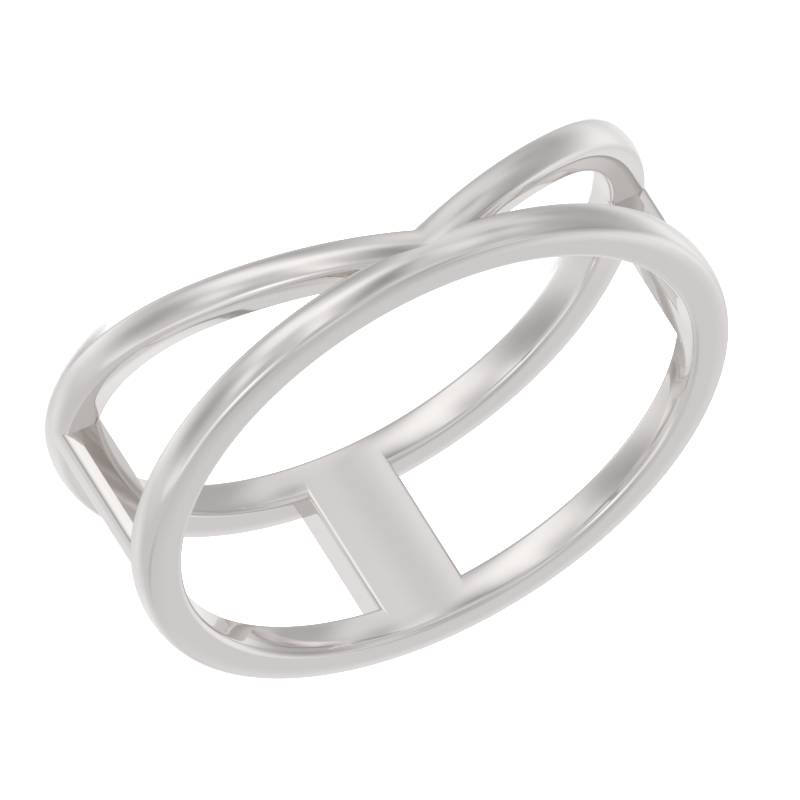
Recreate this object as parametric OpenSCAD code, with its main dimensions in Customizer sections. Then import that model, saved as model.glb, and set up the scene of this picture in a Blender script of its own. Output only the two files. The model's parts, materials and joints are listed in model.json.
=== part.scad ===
// Finger ring cast in one piece: a plain upper rail, a lower rail that sweeps up to
// cross it at the front, and three bridges that hold the two rails apart.
// Millimetres, +Z up. The ring lies on its side, crossing towards -Y, as it rests by itself.

/* [Rails] */
// Inner diameter, the finger size
inner_d = 17.3; // [14:0.1:23]
// Thickness of a rail from the finger to its crown
rail_t = 1.36; // [1.1:0.02:2]
// Width of a rail between its flat sides
rail_w = 1.29; // [1:0.01:1.8]
// Width of the level band round the middle of the finger wall
wall_band = 0.3; // [0.2:0.05:0.5]
// Angle at which the finger wall falls away on either side of the band
wall_a = 4; // [0:0.5:10]
// Radius of the two edges beside the finger
edge_r = 0.21; // [0.1:0.01:0.35]
// Radius of the swell that turns each flat side in towards the shoulder
side_r = 1.8; // [1.2:0.1:3]
// Angle at which the swell runs into the shoulder, where 90 is the flat side
side_a = 78; // [72:0.5:85]
// Radius of the shoulder between the swell and the crown
shoulder_r = 0.27; // [0.2:0.01:0.4]
// Radius of the low crown round the outside
crown_r = 1.4; // [1.2:0.02:2]

/* [Crossing] */
// Height of the upper rail's centre line above the lower one's at the back
rail_pitch = 5.87; // [4:0.01:8]
// Height that the lower rail's centre line reaches at the crossing
cross_h = 5.47; // [3.8:0.01:7.9]
// Angle from the crossing over which the lower rail runs straight down, each way
run_a = 42; // [20:0.5:60]
// Angle from the crossing at which the lower rail has bent level, each way
sweep_a = 116; // [100:0.5:150]
// Share of the width lost square to its run that a climbing rail is given back
climb_share = 0.3; // [0:0.05:1]

/* [Bridges] */
// Width of the back bridge, measured round the middle of the rails' thickness
back_w = 3; // [1.5:0.1:5]
// Radius of the back bridge's long edges
back_r = 0.2; // [0.1:0.01:0.35]
// How far each flat side of a side bridge stands out beyond a rail's
bar_over = 0.025; // [0:0.005:0.04]
// Radius of a side bridge's two edges beside the finger
bar_edge_r = 0.08; // [0.05:0.01:0.2]
// Radius of the swell that meets a side bridge's flat side at a crease
bar_side_r = 2.2; // [1.8:0.1:3]
// Angle at which that swell runs into the shoulder, where 90 is the flat side
bar_side_a = 69; // [66:0.5:72]
// Depth of a bridge's faces behind the finger wall and the crown
bridge_sink = 0.02; // [0.02:0.01:0.15]

/* [Rest] */
// Angle at which the ring leans towards the crossing when it lies on its lower rail
lean = 8.4; // [0:0.1:15]

/* [Hidden] */
$fn = 96;
metal = [0.84, 0.815, 0.80];
// Steps round the lower rail, which has a ring of points at each
rail_steps = 120;
// Steps in the arcs of half a rail's section and along each face of the back bridge
edge_steps = 3;
side_steps = 2;
shoulder_steps = 3;
crown_steps = 2;
face_steps = 4;

inner_r = inner_d / 2;
mid_r = inner_r + rail_t / 2;
half_w = rail_w / 2;
half_bar = half_w + bar_over;
// Each arc's centre lies where the arc runs smoothly into what is beside it
wall_rise = (half_w - edge_r * (1 - sin(wall_a)) - wall_band / 2) * tan(wall_a);
edge_c = [wall_rise + edge_r * cos(wall_a), half_w - edge_r];
crown_a = asin((half_w - side_r + (side_r - shoulder_r) * sin(side_a)) / (crown_r - shoulder_r));
crown_x = rail_t - crown_r;
shoulder_c = [crown_x, 0] + (crown_r - shoulder_r) * [cos(crown_a), sin(crown_a)];
side_c = shoulder_c - (side_r - shoulder_r) * [cos(side_a), sin(side_a)];
bar_side_c = shoulder_c - (bar_side_r - shoulder_r) * [cos(bar_side_a), sin(bar_side_a)];
bar_crease_a = asin((half_bar - bar_side_c.y) / bar_side_r);

// Points of an arc about centre c, from angle a to just short of angle b
function arc(c, r, a, b, steps) =
    [for (i = [0:steps - 1]) let (q = a + (b - a) * i / steps) c + r * [cos(q), sin(q)]];

// Shoulder and half the crown, from angle a on the shoulder
function outside(a) = concat(
    arc(shoulder_c, shoulder_r, a, crown_a, shoulder_steps),
    arc([crown_x, 0], crown_r, crown_a, 0, crown_steps)
);

// Whole outline from its upper half, which ends just short of the top of the crown
function both_halves(half) = concat(
    half,
    [[rail_t, 0]],
    [for (i = [len(half) - 1:-1:0]) [half[i].x, -half[i].y]]
);

// Section of a rail: x is the distance outwards from the finger wall, y runs along the axis
section = both_halves(concat(
    [[0, wall_band / 2]],
    arc(edge_c, edge_r, 180 - wall_a, 90, edge_steps),
    [[edge_c.x, half_w]],
    arc(side_c, side_r, 90, side_a, side_steps),
    outside(side_a)
));
// Section of a side bridge, from its flat finger face
bar_section = both_halves(concat(
    arc([bar_edge_r, half_bar - bar_edge_r], bar_edge_r, 180, 90, edge_steps),
    [[bar_edge_r, half_bar]],
    arc(bar_side_c, bar_side_r, bar_crease_a, bar_side_a, side_steps),
    outside(bar_side_a)
));

// Fall of the lower rail's centre line for each degree of the straight run
fall = 2 * cross_h / (run_a + sweep_a);
bend_a = sweep_a - run_a;
// Share of that fall that is left at angle a from the crossing
function still(a) = min(1, max(0, sweep_a - abs(a)) / bend_a);
// Height of the lower rail's centre line at that angle
function rail_z(a) = abs(a) < run_a ? cross_h - fall * abs(a) : fall * bend_a * pow(still(a), 2) / 2;
// Growth of the section along the axis, for the width that the rail is given back
function spread(a) = 1 + climb_share * (sqrt(1 + pow(fall * still(a) * 180 / PI / mid_r, 2)) - 1);

// Point at radius r and angle a from the crossing, at height z
function round_point(r, a, z) = [r * sin(a), -r * cos(a), z];

function turn(i) = (i > rail_steps / 2 ? i - rail_steps : i) * 360 / rail_steps;
lower_points = [for (i = [0:rail_steps - 1]) let (a = turn(i)) for (p = section)
    round_point(inner_r + p.x, a, rail_z(a) + p.y * spread(a))];
upper_points = [for (a = [0, 180]) for (p = section) round_point(inner_r + p.x, a, rail_pitch + p.y)];

// The leaning ring's extent, which puts the middle of its footprint at the origin
function lean_y(p) = p.y * cos(lean) - p.z * sin(lean);
function lean_z(p) = p.y * sin(lean) + p.z * cos(lean);
all_points = concat(lower_points, upper_points);
y_all = [for (p = all_points) lean_y(p)];
z_all = [for (p = all_points) lean_z(p)];
rest_shift = [0, -(min(y_all) + max(y_all)) / 2, -min(z_all)];

module upper_rail() {
    translate([0, 0, rail_pitch])
        rotate_extrude()
            translate([inner_r, 0])
                polygon(section);
}

module lower_rail() {
    n = len(section);
    count = rail_steps * n;
    polyhedron(
        points = lower_points,
        faces = [for (i = [0:rail_steps - 1]) for (j = [0:n - 1])
            let (k = (j + 1) % n, a = i * n, b = (a + n) % count)
            each [[a + j, b + j, b + k], [a + j, b + k, a + k]]],
        convexity = 8
    );
}

// Upright bar from rail to rail, at angle a from the crossing, with the plan that it is given
module upright(a) {
    low = rail_z(a);
    translate([0, 0, low])
        linear_extrude(rail_pitch - low)
            children();
}

// Bar bent round the finger, as thick as the rails
module back_bridge() {
    top = rail_t - 2 * bridge_sink;
    reach = back_w / 2 - back_r;
    side = top - back_r;
    flat = concat(
        [for (i = [0:face_steps - 1]) [reach * (2 * i / face_steps - 1), 0]],
        arc([reach, back_r], back_r, -90, 0, edge_steps),
        arc([reach, side], back_r, 0, 90, edge_steps),
        [for (i = [0:face_steps - 1]) [reach * (1 - 2 * i / face_steps), top]],
        arc([-reach, side], back_r, 90, 180, edge_steps),
        arc([-reach, back_r], back_r, 180, 270, edge_steps)
    );
    upright(180)
        polygon([for (p = flat) let (q = p.x / mid_r * 180 / PI, r = inner_r + bridge_sink + p.y)
            [r * sin(q), r * cos(q)]]);
}

// Straight bar with its crown outwards
module side_bridge(a) {
    upright(a)
        rotate(a - 90)
            translate([inner_r + bridge_sink, 0])
                scale([1 - 2 * bridge_sink / rail_t, 1])
                    polygon(bar_section);
}

module ring() {
    color(metal)
        translate(rest_shift)
            rotate([lean, 0, 0]) {
                upper_rail();
                lower_rail();
                back_bridge();
                for (a = [-90, 90])
                    side_bridge(a);
            }
}

ring();
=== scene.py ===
import json
import math
from collections import namedtuple

import bmesh
import bpy
from mathutils import Matrix, Vector


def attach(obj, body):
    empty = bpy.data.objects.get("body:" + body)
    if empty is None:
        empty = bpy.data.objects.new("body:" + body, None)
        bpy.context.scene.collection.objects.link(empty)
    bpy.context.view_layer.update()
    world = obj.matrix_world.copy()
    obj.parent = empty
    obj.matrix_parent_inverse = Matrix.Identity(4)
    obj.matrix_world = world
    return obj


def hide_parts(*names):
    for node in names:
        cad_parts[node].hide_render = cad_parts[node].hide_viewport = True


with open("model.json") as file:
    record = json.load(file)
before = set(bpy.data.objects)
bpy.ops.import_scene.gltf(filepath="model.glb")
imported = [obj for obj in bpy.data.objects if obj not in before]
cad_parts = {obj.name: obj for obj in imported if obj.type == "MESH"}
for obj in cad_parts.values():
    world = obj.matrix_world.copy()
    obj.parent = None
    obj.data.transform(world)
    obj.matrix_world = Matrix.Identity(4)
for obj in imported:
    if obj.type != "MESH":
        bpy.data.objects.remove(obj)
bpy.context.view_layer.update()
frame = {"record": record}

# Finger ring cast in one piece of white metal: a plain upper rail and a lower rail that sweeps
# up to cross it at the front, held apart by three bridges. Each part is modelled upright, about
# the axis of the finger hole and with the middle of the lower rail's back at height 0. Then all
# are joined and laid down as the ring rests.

bl_info = {
    "name": "Crossover ring",
    "version": (1, 0, 0),
    "blender": (4, 5, 0),
    "location": "View3D > Sidebar > Ring",
    "description": "Models a crossover finger ring and the stage it is shown on",
    "category": "Add Mesh",
}

MM = 0.001
FULL_TURN = math.tau
QUARTER_TURN = math.pi / 2
# Points nearer to each other than this are one point
SMALLEST_GAP = 1e-7
# An edge that turns by more than this stays crisp
SHARP_EDGE = math.radians(12)
# A noise texture keeps mostly between these two values
NOISE_LOW = 0.3
NOISE_HIGH = 0.7
# Octaves of the noise behind the uneven polish and behind the fine marks
POLISH_DETAIL = 3
MARK_DETAIL = 2

finger_hole = next(mount for mount in frame["record"]["mounts"] if mount["name"] == "finger_hole")
hole_centre = Vector(finger_hole["pos_m"])
hole_axis = Vector(finger_hole["axis"])
hole_radius_mm = finger_hole["dims"]["r_mm"]
# How far the ring leans towards its crossing as it rests
lean = math.atan2(-hole_axis.y, hole_axis.z)

Side = namedtuple("Side", "width wall_dome edge swell swell_turn")
LightCard = namedtuple("LightCard", "azimuth elevation half_width half_height glow")


def length(name, description, millimetres):
    return bpy.props.FloatProperty(
        name=name, description=description, default=millimetres * MM,
        min=0, precision=5, subtype="DISTANCE", unit="LENGTH",
    )


def angle(name, description, degrees):
    return bpy.props.FloatProperty(
        name=name, description=description, default=math.radians(degrees),
        subtype="ANGLE", unit="ROTATION",
    )


def power(name, description, watts):
    return bpy.props.FloatProperty(
        name=name, description=description, default=watts, min=0, unit="POWER",
    )


def number(name, description, value):
    return bpy.props.FloatProperty(name=name, description=description, default=value, min=0)


def count(name, description, value):
    return bpy.props.IntProperty(name=name, description=description, default=value, min=1)


def colour(name, description, value):
    return bpy.props.FloatVectorProperty(
        name=name, description=description, default=value, subtype="COLOR", min=0, max=1,
    )


class RingSizes(bpy.types.PropertyGroup):
    """Sizes of the casting."""

    finger_radius: length("Finger radius", "Radius of the finger hole", hole_radius_mm)
    rail_depth: length("Rail depth", "From the finger wall to the crown", 1.36)
    rail_width: length("Rail width", "Between the two flat sides of a rail", 1.29)
    wall_dome: length("Wall dome", "Radius of the gentle dome across the finger wall", 4.4)
    wall_edge: length("Wall edge", "Radius between the finger wall and a flat side", 0.21)
    swell: length("Swell", "Radius with which a flat side begins to turn in", 1.8)
    swell_turn: angle("Swell turn", "How far the swell turns before the shoulder", 12)
    shoulder: length("Shoulder", "Radius between the swell and the crown", 0.27)
    crown: length("Crown", "Radius of the low crown round the outside", 1.4)
    rail_pitch: length("Rail pitch", "Between the middles of the rails at the back", 5.87)
    cross_height: length("Crossing", "How far the lower rail climbs at the front", 5.47)
    run: angle("Run", "From the crossing to where the lower rail begins to bend", 42)
    sweep: angle("Sweep", "From the crossing to where the lower rail is level", 116)
    widening: number("Widening", "Share of its lost width that a climbing rail is given back", 0.3)
    bar_over: length("Bar over", "How far a side bar's flat sides stand out beyond a rail's", 0.025)
    bar_edge: length("Bar edge", "Radius beside the finger face of a side bar", 0.08)
    bar_swell: length("Bar swell", "Radius of the swell that a side bar's flat side meets", 2.2)
    bar_swell_turn: angle("Bar swell turn", "How far that swell is turned at the shoulder", 21)
    back_width: length("Back bridge", "Width of the bridge at the back", 3)
    back_edge: length("Back bridge edge", "Radius on the long edges of the back bridge", 0.2)
    bridge_sink: length("Bridge recess", "How far the bridges' faces lie behind the rails'", 0.003)
    stations: count("Stations", "Steps round a rail", 288)
    flat_cuts: count("Flat cuts", "Cuts across a flat side", 8)
    wall_cuts: count("Wall cuts", "Steps across the finger wall", 8)
    edge_cuts: count("Edge cuts", "Steps round a wall edge", 10)
    swell_cuts: count("Swell cuts", "Steps round a swell", 4)
    shoulder_cuts: count("Shoulder cuts", "Steps round a shoulder", 8)
    crown_cuts: count("Crown cuts", "Steps over the crown", 10)
    bridge_cuts: count("Bridge cuts", "Steps across a bridge", 20)


class MetalFinish(bpy.types.PropertyGroup):
    """Colour and polish of the metal."""

    tint: colour("Tint", "Colour of the polished metal", (0.84, 0.815, 0.80))
    polish: number("Polish", "Roughness where it is polished best", 0.03)
    haze: number("Haze", "Roughness where it is polished least", 0.08)
    patch: length("Patch", "Size of the areas that are polished alike", 0.6)
    mark: length("Mark", "Size of the finest polishing marks", 0.05)
    mark_depth: length("Mark depth", "Depth of the finest polishing marks", 0.0002)


class StudioSetting(bpy.types.PropertyGroup):
    """Camera and light."""

    azimuth: angle("Azimuth", "Where the camera stands round the ring", 16.646)
    elevation: angle("Elevation", "How far the camera looks down", 22.74)
    roll: angle("Roll", "How far the camera is turned about its own axis", 150.437)
    picture: length("Picture", "Width of the view", 24.127)
    aside: length("Aside", "How far the camera stands to its right", 0.461)
    below: length("Below", "How far the camera stands below the ring's middle", 0.89)
    distance: length("Distance", "From the camera to the ring", 200)
    floor_size: length("Floor", "Side of the square floor", 1000)
    floor_tint: colour("Floor tint", "Colour of the floor", (0.9, 0.9, 0.9))
    floor_roughness: number("Floor roughness", "Roughness of the floor", 0.9)
    surround: number("Surround", "Brightness of the plain part of the surroundings", 0.66)
    lamp_size: length("Lamp size", "Side of the lamp over the floor", 4000)
    lamp_height: length("Lamp height", "Height of the lamp over the floor", 500)
    lamp_power: power("Lamp power", "Power of the lamp over the floor", 160)


def start_clean():
    """Object mode with nothing selected."""
    if bpy.context.object and bpy.context.object.mode != "OBJECT":
        bpy.ops.object.mode_set(mode="OBJECT")
    bpy.ops.object.select_all(action="DESELECT")


def open_new(name):
    """Names the primitive that was just added, puts its place in its mesh and opens it."""
    bpy.ops.object.transform_apply(location=True, rotation=True, scale=True)
    thing = bpy.context.object
    thing.name = thing.data.name = name
    bpy.ops.object.mode_set(mode="EDIT")
    return thing


def select_points(thing, wanted):
    """In edit mode, selects the points whose place passes the test, and what lies between them."""
    bpy.ops.mesh.select_mode(type="VERT")
    bpy.ops.mesh.select_all(action="DESELECT")
    shape = bmesh.from_edit_mesh(thing.data)
    for point in shape.verts:
        if wanted(point.co):
            point.select_set(True)
    shape.select_flush_mode()
    bmesh.update_edit_mesh(thing.data)


def select_edges(thing, wanted):
    """In edit mode, selects the edges whose two ends pass the test."""
    bpy.ops.mesh.select_mode(type="EDGE")
    bpy.ops.mesh.select_all(action="DESELECT")
    shape = bmesh.from_edit_mesh(thing.data)
    for edge in shape.edges:
        if wanted(*(end.co for end in edge.verts)):
            edge.select_set(True)
    shape.select_flush_mode()
    bmesh.update_edit_mesh(thing.data)


def shut(thing):
    """In edit mode, merges doubles, points every face outwards and goes back to object mode."""
    bpy.ops.mesh.select_all(action="SELECT")
    bpy.ops.mesh.remove_doubles(threshold=SMALLEST_GAP)
    bpy.ops.mesh.normals_make_consistent(inside=False)
    bpy.ops.object.mode_set(mode="OBJECT")
    return thing


def draw_arc(steps, turn, x, z):
    """Draws on from the selected point, round a centre in the XZ plane.

    It goes anticlockwise, or clockwise where the turn is negative.
    """
    bpy.ops.mesh.spin(steps=steps, angle=turn, center=(x, 0, z), axis=(0, 1, 0))


def rail_side(sizes):
    """The sizes in which a rail's section isn't like an upright bar's."""
    return Side(
        width=sizes.rail_width,
        wall_dome=sizes.wall_dome,
        edge=sizes.wall_edge,
        swell=sizes.swell,
        swell_turn=sizes.swell_turn,
    )


def bar_side(sizes):
    """The same sizes of an upright bar, whose wall isn't domed but hollow, round the finger."""
    return Side(
        width=sizes.rail_width + 2 * sizes.bar_over,
        wall_dome=-sizes.finger_radius,
        edge=sizes.bar_edge,
        swell=sizes.bar_swell,
        swell_turn=sizes.bar_swell_turn,
    )


def shoulder_place(sizes):
    """A shoulder's centre, outwards and aside from the crown's, and half the crown's turn."""
    rise = sizes.swell - sizes.shoulder
    aside = rise * math.cos(sizes.swell_turn) - sizes.swell + sizes.rail_width / 2
    reach = sizes.crown - sizes.shoulder
    crown_turn = math.asin(aside / reach)
    return reach * math.cos(crown_turn), aside, crown_turn


def draw_section(name, sizes, side, inner, outer, middle):
    """Opens a new outline of a rail or bar, drawn in the XZ plane at +X.

    Its wall lies at the inner radius, its crown at the outer one, and it is even about the
    middle height. Two edges of a plate are its flat sides. The swells, shoulders and crown are
    drawn on from the plate's lower outer corner, and the edges and wall from its upper inner one.
    """
    half = side.width / 2
    wall_x = inner + side.wall_dome
    reach = side.wall_dome - side.edge
    edge_z = half - side.edge
    wall_turn = math.asin(edge_z / reach)
    flat_in = wall_x - reach * math.cos(wall_turn)
    edge_turn = QUARTER_TURN - wall_turn

    crown_x = outer - sizes.crown
    forward, shoulder_z, crown_turn = shoulder_place(sizes)
    shoulder_x = crown_x + forward
    shoulder_turn = QUARTER_TURN - side.swell_turn - crown_turn
    rise = side.swell - sizes.shoulder
    swell_x = shoulder_x - rise * math.sin(side.swell_turn)
    swell_z = rise * math.cos(side.swell_turn) - shoulder_z
    # A rail's swell runs smoothly out of its flat side, and a bar's meets it at a crease
    crease_turn = math.acos(min(1, (half + swell_z) / side.swell))
    flat_out = swell_x + side.swell * math.sin(crease_turn)
    swell_turn = side.swell_turn - crease_turn

    start_clean()
    bpy.ops.mesh.primitive_plane_add(
        size=1, location=((flat_in + flat_out) / 2, 0, middle), rotation=(QUARTER_TURN, 0, 0),
    )
    bpy.ops.transform.resize(value=(flat_out - flat_in, 1, side.width))
    section = open_new(name)
    bpy.ops.mesh.delete(type="ONLY_FACE")
    select_edges(section, lambda a, b: abs(a.z - b.z) > half)
    bpy.ops.mesh.delete(type="EDGE")
    bpy.ops.mesh.select_all(action="SELECT")
    bpy.ops.mesh.subdivide(number_cuts=sizes.flat_cuts)

    select_points(section, lambda p: p.x > flat_out - SMALLEST_GAP and p.z < middle)
    draw_arc(sizes.swell_cuts, swell_turn, swell_x, middle + swell_z)
    draw_arc(sizes.shoulder_cuts, shoulder_turn, shoulder_x, middle - shoulder_z)
    draw_arc(sizes.crown_cuts, 2 * crown_turn, crown_x, middle)
    draw_arc(sizes.shoulder_cuts, shoulder_turn, shoulder_x, middle + shoulder_z)
    draw_arc(sizes.swell_cuts, swell_turn, swell_x, middle - swell_z)

    select_points(section, lambda p: p.x < flat_in + SMALLEST_GAP and p.z > middle)
    draw_arc(sizes.edge_cuts, edge_turn, flat_in, middle + edge_z)
    draw_arc(sizes.wall_cuts, 2 * wall_turn, wall_x, middle)
    draw_arc(sizes.edge_cuts, edge_turn, flat_in, middle - edge_z)

    bpy.ops.mesh.select_all(action="SELECT")
    bpy.ops.mesh.remove_doubles(threshold=SMALLEST_GAP)
    return section


def spun_rail(name, sizes, middle):
    """A level rail: its section spun about the finger hole."""
    inner = sizes.finger_radius
    rail = draw_section(name, sizes, rail_side(sizes), inner, inner + sizes.rail_depth, middle)
    bpy.ops.mesh.spin(steps=sizes.stations, angle=FULL_TURN, center=(0, 0, 0), axis=(0, 0, 1))
    return shut(rail)


def climb(sizes, turn):
    """Height of the lower rail at a turn from the crossing, and its slope there.

    The rail runs straight down from the crossing and then bends evenly until it is level.
    """
    middle_radius = sizes.finger_radius + sizes.rail_depth / 2
    fall = 2 * sizes.cross_height / (sizes.run + sizes.sweep)
    if abs(turn) < sizes.run:
        return sizes.cross_height - fall * abs(turn), fall / middle_radius
    left = max(0, sizes.sweep - abs(turn))
    bend = sizes.sweep - sizes.run
    return fall * left * left / bend / 2, fall * left / bend / middle_radius


def raise_front(rail, sizes):
    """Raises a level rail towards the crossing, one station after the other."""
    bpy.ops.object.mode_set(mode="EDIT")
    bpy.ops.mesh.select_mode(type="VERT")
    step = FULL_TURN / sizes.stations
    # Points by their number of steps from the crossing, on both sides of it
    stations = {}
    for point in bmesh.from_edit_mesh(rail.data).verts:
        station = round(abs(math.atan2(point.co.x, -point.co.y)) / step)
        stations.setdefault(station, []).append(point.index)
    for station, points in stations.items():
        if station * step >= sizes.sweep:
            continue
        height, slope = climb(sizes, station * step)
        bpy.ops.mesh.select_all(action="DESELECT")
        shape = bmesh.from_edit_mesh(rail.data)
        shape.verts.ensure_lookup_table()
        for index in points:
            shape.verts[index].select_set(True)
        shape.select_flush_mode()
        lost_width = math.sqrt(1 + slope * slope) - 1
        bpy.ops.transform.resize(
            value=(1, 1, 1 + sizes.widening * lost_width), center_override=(0, 0, 0),
        )
        bpy.ops.transform.translate(value=(0, 0, height))
    shut(rail)


def turn_bridge(bridge, turn):
    """Turns a bridge that was made at +X to its place round the finger."""
    bridge.rotation_euler.z = turn
    bpy.ops.object.transform_apply(location=True, rotation=True, scale=True)


def upright_bridge(name, sizes, turn):
    """A narrow bridge: the section of a bar laid flat, filled and extruded upwards."""
    low, _ = climb(sizes, turn)
    inner = sizes.finger_radius + sizes.bridge_sink
    outer = sizes.finger_radius + sizes.rail_depth - sizes.bridge_sink
    bridge = draw_section(name, sizes, bar_side(sizes), inner, outer, 0)
    bpy.ops.transform.rotate(value=QUARTER_TURN, orient_axis="X", center_override=(0, 0, 0))
    bpy.ops.mesh.edge_face_add()
    bpy.ops.transform.translate(value=(0, 0, low))
    bpy.ops.mesh.extrude_region_move(
        TRANSFORM_OT_translate={"value": (0, 0, sizes.rail_pitch - low)}
    )
    shut(bridge)
    turn_bridge(bridge, turn - QUARTER_TURN)


def bent_bridge(name, sizes, turn):
    """A wide bridge: a plate spun across its width, with its long edges rounded."""
    face = sizes.finger_radius + sizes.bridge_sink
    depth = sizes.rail_depth - 2 * sizes.bridge_sink
    low, _ = climb(sizes, turn)
    height = sizes.rail_pitch - low
    middle_radius = sizes.finger_radius + sizes.rail_depth / 2
    across = sizes.back_width / middle_radius

    start_clean()
    bpy.ops.mesh.primitive_plane_add(
        size=1, location=(face + depth / 2, 0, low + height / 2), rotation=(QUARTER_TURN, 0, 0),
    )
    bpy.ops.transform.resize(value=(depth, 1, height))
    bridge = open_new(name)
    bpy.ops.mesh.spin(steps=sizes.bridge_cuts, angle=across, center=(0, 0, 0), axis=(0, 0, 1))
    shut(bridge)
    bpy.ops.object.mode_set(mode="EDIT")
    reach = math.cos(across / sizes.bridge_cuts / 2)

    def on_side(point):
        """Whether a point lies on one of the bridge's two narrow sides."""
        bend = -math.atan2(point.y, point.x)
        return math.cos(bend) > reach or math.cos(bend - across) > reach

    select_edges(
        bridge, lambda a, b: abs(a.z - b.z) > height / 2 and on_side(a) and on_side(b),
    )
    bpy.ops.mesh.bevel(offset=sizes.back_edge, segments=sizes.edge_cuts, affect="EDGES")
    shut(bridge)
    turn_bridge(bridge, turn - QUARTER_TURN + across / 2)


def join(casting, names):
    """Joins the named parts to the casting, which uses them up, and smooths all but its edges."""
    start_clean()
    bpy.context.view_layer.objects.active = casting
    casting.select_set(True)
    for name in names:
        bpy.ops.object.modifier_add(type="BOOLEAN")
        union = casting.modifiers[-1]
        union.operation = "UNION"
        union.solver = "EXACT"
        union.object = bpy.data.objects[name]
        bpy.ops.object.modifier_apply(modifier=union.name)
        bpy.data.objects.remove(bpy.data.objects[name])
    bpy.ops.object.mode_set(mode="EDIT")
    shut(casting)
    bpy.ops.object.shade_smooth_by_angle(angle=SHARP_EDGE)


def on_axis(drop):
    """Place on the finger hole's axis, this far under the middle of the upper rail."""
    return hole_centre - Matrix.Rotation(lean, 3, "X") @ Vector((0, 0, drop))


def lay_down(casting, sizes):
    """Leans the upright casting as the ring rests."""
    casting.rotation_euler.x = lean
    casting.location = on_axis(sizes.rail_pitch)
    bpy.ops.object.transform_apply(location=True, rotation=True, scale=True)


def white_metal(finish):
    """Polished white metal: an uneven polish, and fine marks that a polishing cloth leaves."""
    metal = bpy.data.materials.new("white_metal")
    metal.use_nodes = True
    nodes, links = metal.node_tree.nodes, metal.node_tree.links
    shader = nodes["Principled BSDF"]
    shader.inputs["Base Color"].default_value = (*finish.tint, 1)
    shader.inputs["Metallic"].default_value = 1
    place = nodes.new("ShaderNodeTexCoord").outputs["Object"]

    patches = nodes.new("ShaderNodeTexNoise")
    patches.inputs["Scale"].default_value = 1 / finish.patch
    patches.inputs["Detail"].default_value = POLISH_DETAIL
    links.new(place, patches.inputs["Vector"])
    polish = nodes.new("ShaderNodeMapRange")
    polish.inputs["From Min"].default_value = NOISE_LOW
    polish.inputs["From Max"].default_value = NOISE_HIGH
    polish.inputs["To Min"].default_value = finish.polish
    polish.inputs["To Max"].default_value = finish.haze
    links.new(patches.outputs["Fac"], polish.inputs["Value"])
    links.new(polish.outputs["Result"], shader.inputs["Roughness"])

    marks = nodes.new("ShaderNodeTexNoise")
    marks.inputs["Scale"].default_value = 1 / finish.mark
    marks.inputs["Detail"].default_value = MARK_DETAIL
    links.new(place, marks.inputs["Vector"])
    relief = nodes.new("ShaderNodeBump")
    relief.inputs["Strength"].default_value = 1
    relief.inputs["Distance"].default_value = finish.mark_depth
    links.new(marks.outputs["Fac"], relief.inputs["Height"])
    links.new(relief.outputs["Normal"], shader.inputs["Normal"])
    return metal


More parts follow.
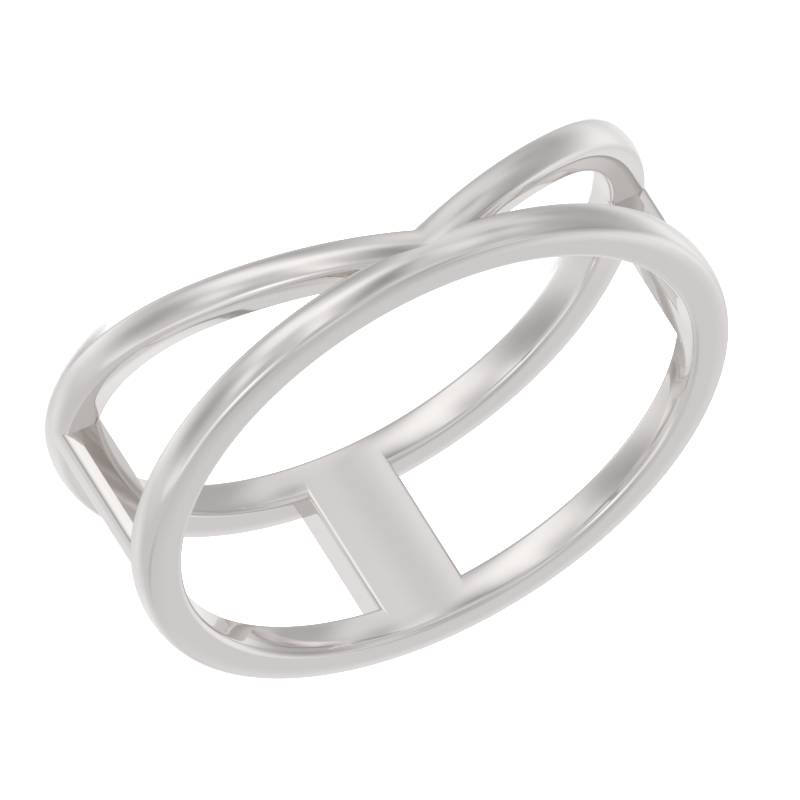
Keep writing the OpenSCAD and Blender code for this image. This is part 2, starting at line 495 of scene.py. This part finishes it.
# The surroundings that the metal mirrors: soft white cards, and grey ones that take light away.
# Angles are in degrees. Azimuth 0 lies before the ring, on its crossing's side, and 90 to the
# right as it is seen from there. A card is brightest in its middle, has half its glow at its
# half width and half height, and fades to nothing at twice those.
CARDS = (
    LightCard(-121, 33, 16, 17, 0.32),
    LightCard(-120, -14, 13, 21, 0.34),
    LightCard(-105, 14, 7, 10, 0.14),
    LightCard(-160, 5, 20, 24, 0.18),
    LightCard(63, 25, 14, 12, 0.45),
    LightCard(54, 19, 7, 8, 0.18),
    LightCard(80, 35, 8, 8, 0.08),
    LightCard(97, 33, 8, 12, 0.31),
    LightCard(88, 17, 8, 8, 0.10),
    LightCard(102, 4, 7, 12, 0.27),
    LightCard(43, -46, 16, 12, 0.37),
    LightCard(12, -39, 16, 7, 0.31),
    LightCard(20, -29, 9, 6, 0.14),
    LightCard(29, -17, 6, 12, 0.28),
    LightCard(31, 2, 5, 7, 0.10),
    LightCard(60, -19, 7, 8, 0.26),
    LightCard(-28, -20, 8, 9, 0.22),
    LightCard(-46, 37, 7, 9, 0.12),
    LightCard(24, 64, 8, 10, 0.18),
    LightCard(116, -22, 10, 12, 0.10),
    LightCard(130, -50, 16, 14, 0.36),
    LightCard(146, -24, 10, 8, 0.18),
    LightCard(172, -6, 16, 24, 0.26),
    LightCard(-42, -58, 18, 16, 0.21),
    LightCard(-148, -23, 9, 9, 0.20),
    LightCard(-167, 27, 8, 8, 0.06),
    LightCard(-144, 47, 7, 6, 0.12),
    LightCard(-58, -33, 8, 6, 0.09),
    LightCard(-32, -38, 6, 5, 0.05),
    LightCard(28, -5, 5, 6, 0.14),
    LightCard(52, -35, 6, 5, 0.06),
    LightCard(-48, -17, 6, 6, 0.12),
    LightCard(-21, -29, 4, 4, 0.09),
    LightCard(109, -6, 4, 6, 0.10),
    LightCard(52, -55, 8, 6, 0.09),
    LightCard(63, 24, 6, 6, 0.14),
    LightCard(-171, 12, 5, 5, 0.07),
    LightCard(-8, 18, 12, 8, 0.09),
    LightCard(-78, 61, 14, 7, 0.10),
    LightCard(-71, 26, 16, 16, -0.23),
    LightCard(-73, -8, 17, 20, -0.21),
    LightCard(-95, -38, 13, 14, -0.17),
    LightCard(-74, -58, 12, 8, -0.12),
    LightCard(2, -17, 7, 12, -0.30),
    LightCard(11, 6, 6, 9, -0.14),
    LightCard(85, -26, 12, 12, -0.22),
    LightCard(78, 62, 12, 11, -0.18),
    LightCard(-20, 57, 10, 10, -0.17),
    LightCard(-45, 78, 20, 8, -0.10),
    LightCard(15, -70, 18, 12, -0.16),
    LightCard(33, 36, 9, 8, -0.10),
    LightCard(-152, 72, 20, 14, -0.08),
    LightCard(-20, 43, 12, 7, -0.12),
    LightCard(-38, 3, 9, 11, -0.09),
    LightCard(24, 25, 8, 8, -0.10),
    LightCard(72, -40, 8, 8, -0.11),
    LightCard(102, -54, 12, 10, -0.10),
    LightCard(-60, -74, 30, 9, -0.12),
    LightCard(177, 3, 9, 13, -0.13),
    LightCard(158, 42, 8, 7, -0.12),
    LightCard(-95, 48, 10, 8, -0.10),
    LightCard(-44, -30, 6, 4, -0.11),
    LightCard(-7, -28, 5, 5, -0.10),
    LightCard(-12, -39, 6, 5, -0.08),
    LightCard(12, -9, 5, 7, -0.15),
    LightCard(-75, -40, 6, 6, -0.08),
    LightCard(88, 73, 14, 8, -0.08),
    LightCard(53, -6, 7, 6, -0.12),
    LightCard(-177, 22, 5, 6, -0.10),
)


def looking(azimuth, elevation):
    """Unit vector from the ring towards a place round it."""
    flat = math.cos(elevation)
    return Vector((math.sin(azimuth) * flat, -math.cos(azimuth) * flat, math.sin(elevation)))


def card_light(card, direction, nodes, links):
    """Light of one card in a direction, which fades softly from its middle."""
    azimuth, elevation = math.radians(card.azimuth), math.radians(card.elevation)
    across, upwards = math.radians(2 * card.half_width), math.radians(2 * card.half_height)
    place = nodes.new("ShaderNodeMapping")
    place.vector_type = "TEXTURE"
    place.inputs["Location"].default_value = looking(azimuth, elevation)
    place.inputs["Rotation"].default_value = (0, -elevation, azimuth - QUARTER_TURN)
    place.inputs["Scale"].default_value = (1, across, upwards)
    links.new(direction, place.inputs["Vector"])
    fade = nodes.new("ShaderNodeTexGradient")
    fade.gradient_type = "SPHERICAL"
    links.new(place.outputs["Vector"], fade.inputs["Vector"])
    glow = nodes.new("ShaderNodeMapRange")
    glow.interpolation_type = "SMOOTHSTEP"
    glow.inputs["To Max"].default_value = card.glow
    links.new(fade.outputs["Fac"], glow.inputs["Value"])
    return glow.outputs["Result"]


def soft_surroundings(level):
    """A world of even light with the soft cards on it."""
    world = bpy.data.worlds.new("studio")
    world.use_nodes = True
    nodes, links = world.node_tree.nodes, world.node_tree.links
    direction = nodes.new("ShaderNodeTexCoord").outputs["Generated"]
    light = None
    for card in CARDS:
        glow = card_light(card, direction, nodes, links)
        total = nodes.new("ShaderNodeMath")
        total.operation = "ADD"
        total.inputs[0].default_value = level
        if light:
            links.new(light, total.inputs[0])
        links.new(glow, total.inputs[1])
        light = total.outputs["Value"]
    links.new(light, nodes["Background"].inputs["Color"])
    return world


def pale_floor(setting):
    """A plain matt floor, which the metal doesn't mirror."""
    start_clean()
    bpy.ops.mesh.primitive_plane_add(size=setting.floor_size)
    floor = bpy.context.object
    floor.name = floor.data.name = "floor"
    paper = bpy.data.materials.new("floor_paper")
    paper.use_nodes = True
    shader = paper.node_tree.nodes["Principled BSDF"]
    shader.inputs["Base Color"].default_value = (*setting.floor_tint, 1)
    shader.inputs["Roughness"].default_value = setting.floor_roughness
    floor.data.materials.append(paper)
    floor.visible_glossy = False


def floor_lamp(setting):
    """A wide lamp that lights the floor evenly, and which the metal doesn't mirror."""
    start_clean()
    bpy.ops.object.light_add(type="AREA", location=(0, 0, setting.lamp_height))
    lamp = bpy.context.object
    lamp.name = "floor_lamp"
    lamp.data.size = setting.lamp_size
    lamp.data.energy = setting.lamp_power
    lamp.visible_glossy = False


def picture_camera(setting, sizes):
    """A camera turned about its own axis, so that the ring is nearly upside down in its picture."""
    start_clean()
    bpy.ops.object.camera_add()
    camera = bpy.context.object
    camera.name = "camera"
    camera.data.type = "ORTHO"
    camera.data.ortho_scale = setting.picture
    back = looking(setting.azimuth, setting.elevation)
    level_turn = back.to_track_quat("Z", "Y").to_matrix().to_4x4()
    turn = Matrix.Rotation(setting.roll, 4, back) @ level_turn
    right, up = turn.col[0].to_3d(), turn.col[1].to_3d()
    middle = on_axis(sizes.rail_pitch / 2)
    place = middle + back * setting.distance + right * setting.aside - up * setting.below
    camera.matrix_world = Matrix.Translation(place) @ turn
    return camera


class RING_OT_upper_rail(bpy.types.Operator):
    """Adds the plain rail"""

    bl_idname = "ring.upper_rail"
    bl_label = "Upper rail"

    def execute(self, context):
        sizes = context.scene.ring_sizes
        spun_rail("upper_rail", sizes, sizes.rail_pitch)
        return {"FINISHED"}


class RING_OT_lower_rail(bpy.types.Operator):
    """Adds the rail that sweeps up to the crossing"""

    bl_idname = "ring.lower_rail"
    bl_label = "Lower rail"

    def execute(self, context):
        sizes = context.scene.ring_sizes
        rail = spun_rail("lower_rail", sizes, 0)
        raise_front(rail, sizes)
        return {"FINISHED"}


class RING_OT_bridges(bpy.types.Operator):
    """Adds the three bridges between the rails"""

    bl_idname = "ring.bridges"
    bl_label = "Bridges"

    def execute(self, context):
        sizes = context.scene.ring_sizes
        bent_bridge("back_bridge", sizes, math.pi)
        upright_bridge("left_bridge", sizes, -QUARTER_TURN)
        upright_bridge("right_bridge", sizes, QUARTER_TURN)
        return {"FINISHED"}


class RING_OT_casting(bpy.types.Operator):
    """Joins the rails and bridges, lays the ring down and gives it its metal"""

    bl_idname = "ring.casting"
    bl_label = "Casting"

    def execute(self, context):
        casting = bpy.data.objects["upper_rail"]
        join(casting, ("lower_rail", "back_bridge", "left_bridge", "right_bridge"))
        casting.name = casting.data.name = "cast_ring"
        lay_down(casting, context.scene.ring_sizes)
        casting.data.materials.clear()
        casting.data.materials.append(white_metal(context.scene.metal_finish))
        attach(casting, "root")
        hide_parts("ring")
        return {"FINISHED"}


class RING_OT_stage(bpy.types.Operator):
    """Adds the floor, the camera and the light"""

    bl_idname = "ring.stage"
    bl_label = "Stage"

    def execute(self, context):
        setting = context.scene.studio_setting
        pale_floor(setting)
        floor_lamp(setting)
        context.scene.world = soft_surroundings(setting.surround)
        context.scene.camera = picture_camera(setting, context.scene.ring_sizes)
        context.scene.view_settings.view_transform = "Standard"
        return {"FINISHED"}


class RING_PT_panel(bpy.types.Panel):
    """Lists the steps that make the ring and its stage"""

    bl_idname = "RING_PT_panel"
    bl_label = "Crossover ring"
    bl_space_type = "VIEW_3D"
    bl_region_type = "UI"
    bl_category = "Ring"

    def draw(self, context):
        for name in GROUPS:
            group = getattr(context.scene, name)
            box = self.layout.box()
            for key in group.bl_rna.properties.keys():
                if key not in ("rna_type", "name"):
                    box.prop(group, key)
        for operator in OPERATORS:
            self.layout.operator(operator.bl_idname)


GROUPS = {
    "ring_sizes": RingSizes,
    "metal_finish": MetalFinish,
    "studio_setting": StudioSetting,
}
OPERATORS = (
    RING_OT_upper_rail,
    RING_OT_lower_rail,
    RING_OT_bridges,
    RING_OT_casting,
    RING_OT_stage,
)


def register():
    for name, group in GROUPS.items():
        bpy.utils.register_class(group)
        setattr(bpy.types.Scene, name, bpy.props.PointerProperty(type=group))
    for operator in OPERATORS:
        bpy.utils.register_class(operator)
    bpy.utils.register_class(RING_PT_panel)


def unregister():
    bpy.utils.unregister_class(RING_PT_panel)
    for operator in reversed(OPERATORS):
        bpy.utils.unregister_class(operator)
    for name, group in GROUPS.items():
        delattr(bpy.types.Scene, name)
        bpy.utils.unregister_class(group)


def main():
    register()
    bpy.ops.ring.upper_rail()
    bpy.ops.ring.lower_rail()
    bpy.ops.ring.bridges()
    bpy.ops.ring.casting()
    bpy.ops.ring.stage()


if __name__ == "__main__":
    main()
